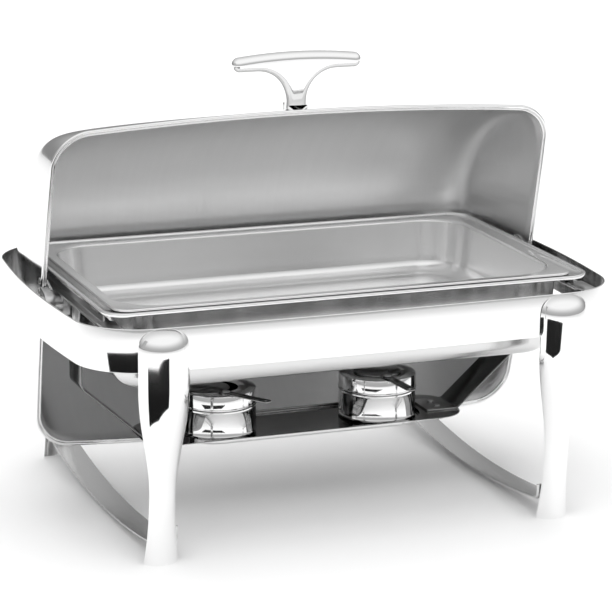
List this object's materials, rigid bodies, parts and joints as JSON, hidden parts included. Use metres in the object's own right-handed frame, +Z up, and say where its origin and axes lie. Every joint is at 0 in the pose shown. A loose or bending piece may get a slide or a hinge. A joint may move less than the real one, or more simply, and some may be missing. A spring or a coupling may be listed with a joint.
{
  "type": "roll top chafer",
  "caption": "Buffet food warmer with a roll-open lid in a leg-borne band, over a water pan, a food pan and fuel burners on a hung tray.",
  "frame": {"origin": "centre of the footprint at the surface it stands on", "axes": "+Z up, front faces -Y, +X to the right seen from the front"},
  "size_m": [0.628, 0.4698, 0.5053],
  "materials": {
    "polished": "mirror-polished stainless steel",
    "satin": "satin stainless steel",
    "pan_satin": "fine satin stainless steel, softly drawn",
    "fastener": "zinc-bright steel fasteners"
  },
  "bodies": {
    "frame": {"frame_band": "polished", "leg_front_left": "polished", "leg_front_right": "polished", "leg_rear_left": "polished", "leg_rear_right": "polished", "leg_screws": "fastener", "stretcher_left": "satin", "stretcher_right": "satin", "stretcher_screws": "fastener", "side_rail_left": "satin", "side_rail_right": "satin", "corner_bracket_left": "satin", "corner_bracket_right": "satin", "hinge_shaft_left": "satin", "hinge_shaft_right": "satin", "shaft_saddle_left": "satin", "shaft_saddle_right": "satin", "lid_stop_left": "fastener", "lid_stop_right": "fastener", "hanger_posts": "fastener", "tray_hanger_left": "polished", "tray_hanger_right": "polished", "tray_rivets": "fastener", "fuel_tray": "polished"},
    "lid": {"lid_shell": "polished", "hinge_bracket_left": "satin", "hinge_bracket_right": "satin", "hinge_rivets": "fastener", "handle": "polished", "handle_screw": "fastener", "handle_washer": "fastener"},
    "water_pan": {"water_pan": "polished"},
    "food_pan": {"food_pan": "pan_satin"},
    "burner_left": {"burner_cup_left": "polished", "burner_cap_left": "polished", "damper_rivet_left": "fastener"},
    "burner_right": {"burner_cup_right": "polished", "burner_cap_right": "polished", "damper_rivet_right": "fastener"},
    "damper_left": {"burner_damper_left": "polished"},
    "damper_right": {"burner_damper_right": "polished"}
  },
  "joints": [
    {"name": "lid_hinge", "type": "hinge", "parent": "frame", "child": "lid", "pos_m": [0, 0, 0.242], "axis": [-1, 0, 0], "range_deg": [-75, 0]},
    {"name": "water_pan_lift", "type": "slide", "parent": "frame", "child": "water_pan", "axis": [0, 0, 1], "range_m": [0, 0.008]},
    {"name": "food_pan_lift", "type": "slide", "parent": "water_pan", "child": "food_pan", "axis": [0, 0, 1], "range_m": [0, 0.03]},
    {"name": "burner_left_lift", "type": "slide", "parent": "frame", "child": "burner_left", "axis": [0, 0, 1], "range_m": [0, 0.03]},
    {"name": "burner_right_lift", "type": "slide", "parent": "frame", "child": "burner_right", "axis": [0, 0, 1], "range_m": [0, 0.03]},
    {"name": "damper_left_swivel", "type": "hinge", "parent": "burner_left", "child": "damper_left", "pos_m": [-0.098, -0.031, 0.13], "axis": [0, 0, 1], "range_deg": [-28, 52]},
    {"name": "damper_right_swivel", "type": "hinge", "parent": "burner_right", "child": "damper_right", "pos_m": [0.098, -0.031, 0.13], "axis": [0, 0, 1], "range_deg": [0, 80]}
  ]
}
